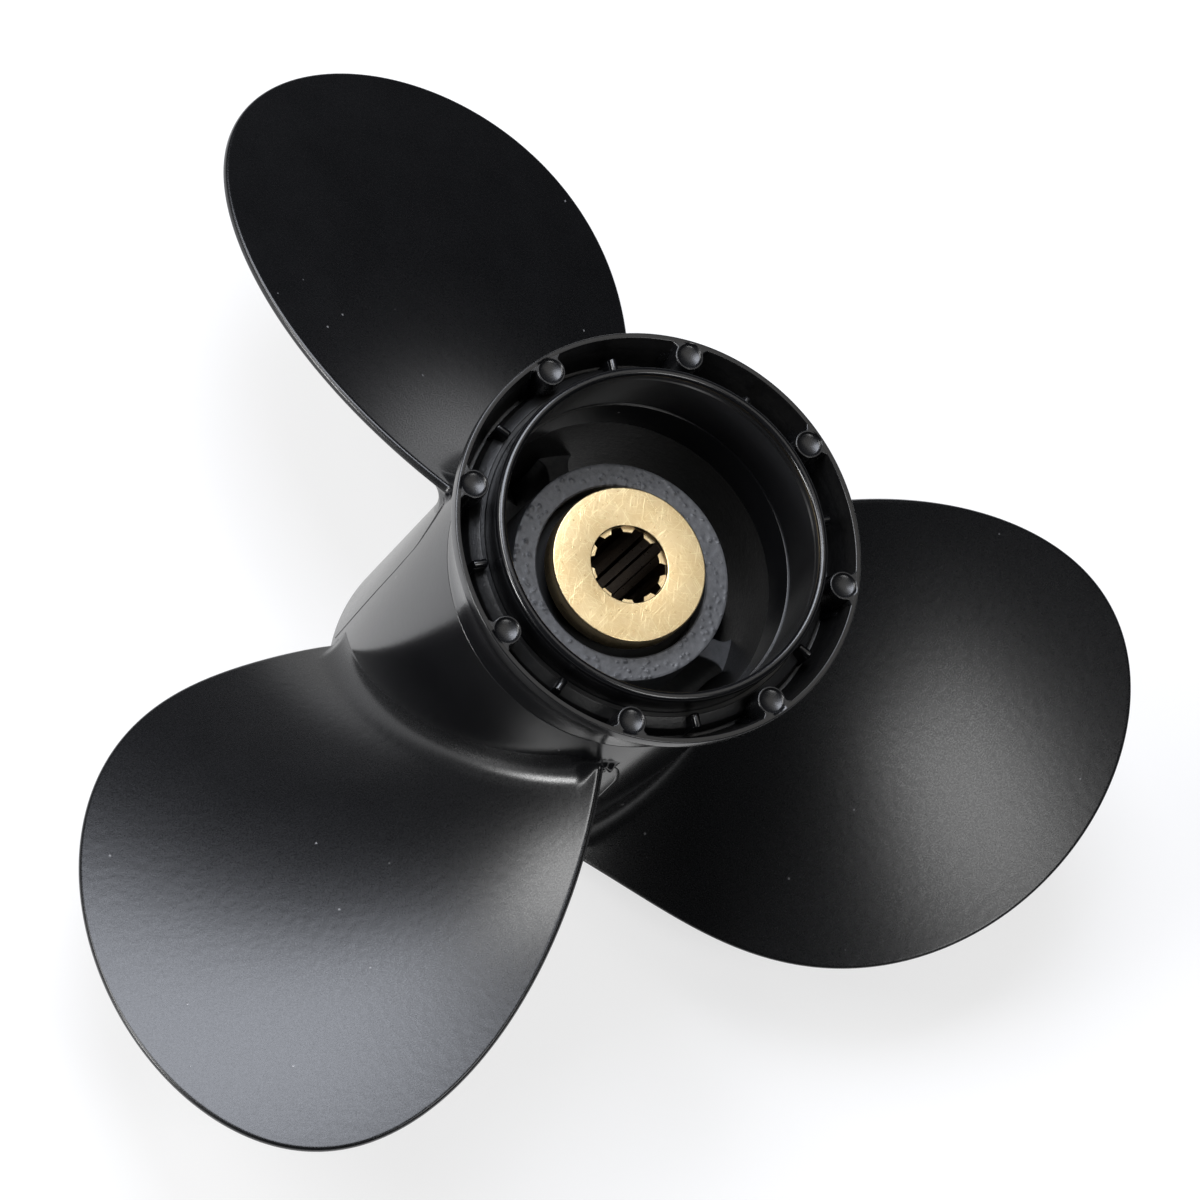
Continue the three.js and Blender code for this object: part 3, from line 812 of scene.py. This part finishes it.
def blade(index):
    """One blade, with a fillet skirt that runs out onto the hub."""
    columns = 220
    skirt_rows = 12
    rows = 100
    turn = TURN * (np.arange(columns) + 0.5) / columns
    w = np.cos(turn)
    face = np.where(turn < math.pi, 1, -1)
    full = np.where(face > 0, PRESSURE_FILLET, SUCTION_FILLET)
    fade = np.where(w > 0, TRAILING_FADE, LEADING_FADE)
    fillet = mix(EDGE_FILLET, full, smooth_step((1 - np.abs(w)) / fade))
    hub = hub_radius(polynomial(BLADE_MIDDLE_Z, 0))
    buried = 0.25 * MM            # the skirt's last row ends inside the hub
    apron = 0.6 * MM
    loops = []
    for k in range(-1, skirt_rows):
        bend = max(k, 0) / skirt_rows * math.pi / 2
        rise = fillet * (1 - math.cos(bend))
        spread = fillet * (1 - math.sin(bend))
        if k < 0:
            rise = rise - buried
            spread = spread + apron
        s = (hub + rise - BLADE_BASE_RADIUS) / (PROP_RADIUS - BLADE_BASE_RADIUS)
        angle, height = blade_points(s, w, face)
        flat = offset_loop(np.stack([angle * hub, height], axis=1), spread)
        radius = hub_radius(flat[:, 1]) + rise
        loops.append((radius, flat[:, 0] / hub, flat[:, 1]))
    first = (hub + fillet - BLADE_BASE_RADIUS) / (PROP_RADIUS - BLADE_BASE_RADIUS)
    last = 0.9996
    crowding = 1.7                # rows lie closer together towards the tip
    for k in range(rows):
        share = 1 - (1 - k / (rows - 1)) ** crowding
        s = mix(first, last, share)
        angle, height = blade_points(s, w, face)
        radius = mix(BLADE_BASE_RADIUS, PROP_RADIUS, s)
        cone = hub_radius(height) - hub
        radius = radius + cone * (1 - share)
        loops.append((radius, angle, height))
    points = [np.stack([r * np.cos(a), r * np.sin(a), z], axis=1) for r, a, z in loops]
    name = f"blade_{index + 1}"
    place = FIRST_BLADE + index * TURN / BLADE_COUNT
    obj = swept(name + "_casting", around(points, place))
    finish_piece(obj, BLADE_PAINT, "satin_black_paint", "casting", name)


def on_hub(angle, z, rise):
    """Point on the hub's outside, lifted by rise."""
    radius = hub_radius(z) + rise
    return np.stack([radius * np.cos(angle), radius * np.sin(angle), z + 0 * angle], axis=-1)


def parting_line(index):
    """Raised line where the mould's halves met: wide at the trailing edge's root, then thin."""
    angles = np.radians([49.0, 55.6, 60.8, 62.3, 63.0, 64.0, 65.0])
    heights = np.array([75.0, 70.8, 62.0, 48.0, 30.0, 15.0, 3.0]) * MM
    steps = 90
    reach = np.hypot(np.diff(angles) * HUB_RADIUS_AFT, np.diff(heights))
    along = np.concatenate([[0], np.cumsum(reach)])
    t = np.linspace(0, along[-1], steps)
    z = np.interp(t, along, heights)
    path = np.stack([np.interp(t, along, angles) * HUB_RADIUS_AFT, z], axis=1)
    smoothing_passes = 12
    for _ in range(smoothing_passes):
        path[1:-1] = (path[:-2] + 2 * path[1:-1] + path[2:]) / 4
    forward = np.gradient(path, axis=0)
    forward /= np.linalg.norm(forward, axis=1, keepdims=True)
    side = np.stack([-forward[:, 1], forward[:, 0]], axis=1)
    share = t / along[-1]
    half = mix(0.17 * MM, 0.65 * MM, 1 - smooth_step(share / 0.42))
    tall = mix(0.09 * MM, 0.28 * MM, 1 - smooth_step(share / 0.30))
    loops = []
    for across, up in ((-1.2, -0.15), (-1.0, 0), (-0.75, 0.75), (-0.3, 1), (0.3, 1), (0.75, 0.75),
                       (1.0, 0), (1.2, -0.15)):
        spot = path + side * (half * across)[:, None]
        sink = 0.25 * MM if abs(across) > 1 else 0.02 * MM
        rise = tall * up if up > 0 else -sink + 0 * tall
        loops.append(on_hub(spot[:, 0] / HUB_RADIUS_AFT, spot[:, 1], rise))
    place = FIRST_BLADE + index * TURN / BLADE_COUNT
    obj = swept(f"parting_line_{index + 1}", around(np.swapaxes(loops, 0, 1), place))
    finish_piece(obj, PAINT, "satin_black_paint", "casting")


def cast_lumps(index):
    """Rough leftover metal round the trailing edge's root, as lumps that stand on the hub."""
    draw = np.random.default_rng(40 + index)
    size = 64
    centre = np.array([math.radians(50.6) * HUB_RADIUS_AFT, 74.0 * MM])
    reach = np.array([2.8, 4.0]) * MM
    across, along = np.meshgrid(np.linspace(-1, 1, size), np.linspace(-1, 1, size), indexing="ij")
    rise = np.zeros((size, size))
    lump_count = 7
    for _ in range(lump_count):
        x, y = draw.normal(0, 0.26, 2)
        wide = draw.uniform(0.7, 1.2) * MM
        tall = draw.uniform(0.7, 1.6) * MM
        away = np.hypot((across - x) * reach[0], (along - y) * reach[1])
        rise = np.maximum(rise, tall * np.exp(-(away / wide) ** 2))
    rim = np.maximum(abs(across), abs(along))
    sunk = 0.06 * MM + 0.3 * MM * smooth_step((rim - 0.8) / 0.2)
    rise = rise * smooth_step((1 - rim) / 0.15) - sunk
    angle = (centre[0] + across * reach[0]) / HUB_RADIUS_AFT
    top = on_hub(angle, centre[1] + along * reach[1], rise)
    vertices = top.reshape(-1, 3)
    faces = grid_faces(size, size)
    border = list(range(size))
    border += [i * size + size - 1 for i in range(1, size)]
    border += [(size - 1) * size + j for j in range(size - 2, -1, -1)]
    border += [i * size for i in range(size - 2, 0, -1)]
    faces.append(tuple(border))
    place = FIRST_BLADE + index * TURN / BLADE_COUNT
    obj = piece(f"cast_lumps_{index + 1}", around(vertices, place), faces, math.radians(80))
    finish_piece(obj, PAINT, "satin_black_paint", "casting")


# ---- Cushion hub --------------------------------------------------------------------------


def rubber_bush():
    inner = BUSH_LOW.z
    profile = rounded([
        (INSERT_BODY_RADIUS + 0.02 * MM, inner, 0),
        (BARREL_BORE_RADIUS - 0.02 * MM, inner, 0.8 * MM),
        (BARREL_BORE_RADIUS - 0.02 * MM, BUSH_HIGH.z, 0.9 * MM),
        (INSERT_BODY_RADIUS + 0.02 * MM, BUSH_HIGH.z - 0.4 * MM, 0),
    ])
    obj = turned("rubber_bush_moulding", profile, segments=192)
    finish_piece(obj, RUBBER, "black_rubber", "cushion", "rubber_bush")


def spline_radius(angles):
    """Radius of the splined hole: teeth stand in from the major circle."""
    pitch = TURN / SPLINE_TEETH
    from_tooth = np.abs((angles - FIRST_TOOTH + pitch / 2) % pitch - pitch / 2)
    root_half = SPLINE_ROOT_WIDTH / 2 / SPLINE_MAJOR_RADIUS
    tip_half = SPLINE_TIP_WIDTH / 2 / SPLINE_MINOR_RADIUS
    share = np.clip((root_half - from_tooth) / (root_half - tip_half), 0, 1)
    return mix(SPLINE_MAJOR_RADIUS, SPLINE_MINOR_RADIUS, share)


def splined_insert():
    """Brass insert: a flange, a plain body and a splined bore with plain mouths."""
    segments = 720
    angles = np.arange(segments) * TURN / segments
    flange_z = INSERT_AFT_Z - FLANGE_THICKNESS
    edge = 0.35 * MM
    mouth = SPLINE_MAJOR_RADIUS + 0.02 * MM
    teeth_front = INSERT_FRONT_Z + SPLINE_SETBACK
    teeth_aft = INSERT_AFT_Z - SPLINE_SETBACK
    outside = rounded([
        (mouth, teeth_front, 0),
        (mouth, INSERT_FRONT_Z, edge),
        (INSERT_BODY_RADIUS, INSERT_FRONT_Z, edge),
        (INSERT_BODY_RADIUS, flange_z, 0.3 * MM),
        (FLANGE_RADIUS, flange_z, edge),
        (FLANGE_RADIUS, INSERT_AFT_Z, edge),
        (mouth, INSERT_AFT_Z, 0.25 * MM),
        (mouth, teeth_aft, 0),
    ])
    loops = [[(r * math.cos(a), r * math.sin(a), z) for a in angles] for r, z in outside]
    hole = spline_radius(angles)
    chamfer = 0.12 * MM
    for z, wider in ((teeth_aft, chamfer), (teeth_aft - chamfer, 0),
                     (teeth_front + chamfer, 0), (teeth_front, chamfer)):
        r = np.minimum(hole + wider, SPLINE_MAJOR_RADIUS)
        loops.append(np.stack([r * np.cos(angles), r * np.sin(angles), 0 * angles + z], axis=1))
    faces = grid_faces(len(loops), segments, wrap_rows=True, wrap_columns=True)
    obj = piece("splined_insert_brass", np.array(loops).reshape(-1, 3), faces)
    finish_piece(obj, BRASS, "brass", "insert", "splined_insert")
    # Painted shade: the bore's walls get the darkened brass.
    obj.data.materials.append(SHADED_BORE_BRASS)
    for polygon in obj.data.polygons:
        centre = polygon.center
        inside = math.hypot(centre.x, centre.y) < SPLINE_MAJOR_RADIUS + 0.1 * MM
        polygon.material_index = 1 if inside and abs(polygon.normal.z) < 0.5 else 0


# ---- Build --------------------------------------------------------------------------------

outer_hub()
diffuser_ring()
duct_collar()
inner_barrel()
for number in range(BLADE_COUNT):
    blade(number)
    parting_line(number)
    cast_lumps(number)
    spoke(number)
for number in range(PAD_COUNT):
    ejector_pad(number)
    channel_rib(number)
rubber_bush()
splined_insert()

# ---- Floor, lights and camera -------------------------------------------------------------


def direction(azimuth, elevation):
    a, e = math.radians(azimuth), math.radians(elevation)
    return Vector((math.cos(e) * math.cos(a), math.cos(e) * math.sin(a), math.sin(e)))


def softbox(name, azimuth, elevation, width, height, radiance, color=(1, 1, 1)):
    """Rectangular light that looks at the hub's middle."""
    light = bpy.data.lights.new(name, "AREA")
    light.shape = "RECTANGLE"
    light.size = width
    light.size_y = height
    light.energy = radiance * math.pi * width * height
    light.color = color
    obj = bpy.data.objects.new(name, light)
    obj.location = AIM + direction(azimuth, elevation) * LIGHT_DISTANCE
    obj.rotation_euler = (AIM - obj.location).to_track_quat("-Z", "Y").to_euler()
    bpy.context.scene.collection.objects.link(obj)


def floor():
    """Pale floor under the hub's front end. It glows as painted light, strongest near the hub to
    fill the shadows there; glow and colour fall off outwards.
    """
    columns = 96
    radii = (0.02, 0.3, 1.0, 3.0)
    angles = np.arange(columns) * TURN / columns
    loops = [[(r * math.cos(a), r * math.sin(a), 0) for a in angles] for r in radii]
    mesh_faces = grid_faces(len(radii), columns, wrap_columns=True) + [tuple(range(columns))]
    obj = piece("studio_floor", np.array(loops).reshape(-1, 3), mesh_faces)
    obj.location.z = -0.02 * MM
    shader = Shader("pale_floor_painted_glow")
    shader.feed("Roughness", shader.span(shader.noise(3.0), 0, 1, 0.85, 0.95))
    # Painted light: the floor's glow lifts the shadows near the hub; glow and colour fade with
    # distance from the middle.
    edge = shader.span(shader.distance(), 0.27, 0.75)
    shader.feed("Base Color", shader.blend(edge, (0.30, 0.30, 0.305), (0.27, 0.27, 0.275)))
    shader.feed("Emission Strength", shader.span(edge, 0, 1, 0.68, 0.12))
    shader.set(Emission_Color=(1, 1, 1, 1))
    obj.data.materials.append(shader.material)


def surroundings(color, strength):
    world = bpy.data.worlds.new("studio")
    world.use_nodes = True
    background = world.node_tree.nodes["Background"]
    background.inputs["Color"].default_value = (*color, 1)
    background.inputs["Strength"].default_value = strength
    bpy.context.scene.world = world


def camera(place, aim, up_azimuth, lens):
    """Camera at place that looks at aim; up_azimuth is the way round Z that is up in its view."""
    data = bpy.data.cameras.new("camera")
    data.lens = lens
    data.sensor_width = 36
    data.clip_start = 0.01
    forward = (aim - place).normalized()
    hint = direction(up_azimuth, 0)
    right = forward.cross(hint).normalized()
    up = right.cross(forward)
    obj = bpy.data.objects.new("camera", data)
    turn = Matrix((right, up, -forward)).transposed()
    obj.matrix_world = Matrix.Translation(place) @ turn.to_4x4()
    bpy.context.scene.collection.objects.link(obj)
    bpy.context.scene.camera = obj


AIM = Vector((0, 0, 0.06))
LIGHT_DISTANCE = 1.1
CAMERA_PLACE = Vector((-0.3159, -0.2049, 0.8401))
CAMERA_AIM = Vector((0.0058, 0.0021, 0.060))
CAMERA_UP_AZIMUTH = 77.63
CAMERA_LENS = 125.9

floor()
softbox("softbox_main", 103, 60, 0.62, 0.56, 10.5, (0.86, 0.90, 1.0))
softbox("softbox_small", -68, 62, 0.34, 0.34, 7.5)
softbox("softbox_side", 156, 40, 0.62, 0.36, 11)
softbox("softbox_strip", 185, 12, 0.30, 0.22, 31)
softbox("softbox_top", 33, 68, 0.75, 0.65, 1.0, (1.0, 0.97, 0.92))
surroundings((0.9, 0.95, 1.0), 0.03)
camera(CAMERA_PLACE, CAMERA_AIM, CAMERA_UP_AZIMUTH, CAMERA_LENS)
bpy.context.scene.view_settings.view_transform = "Standard"
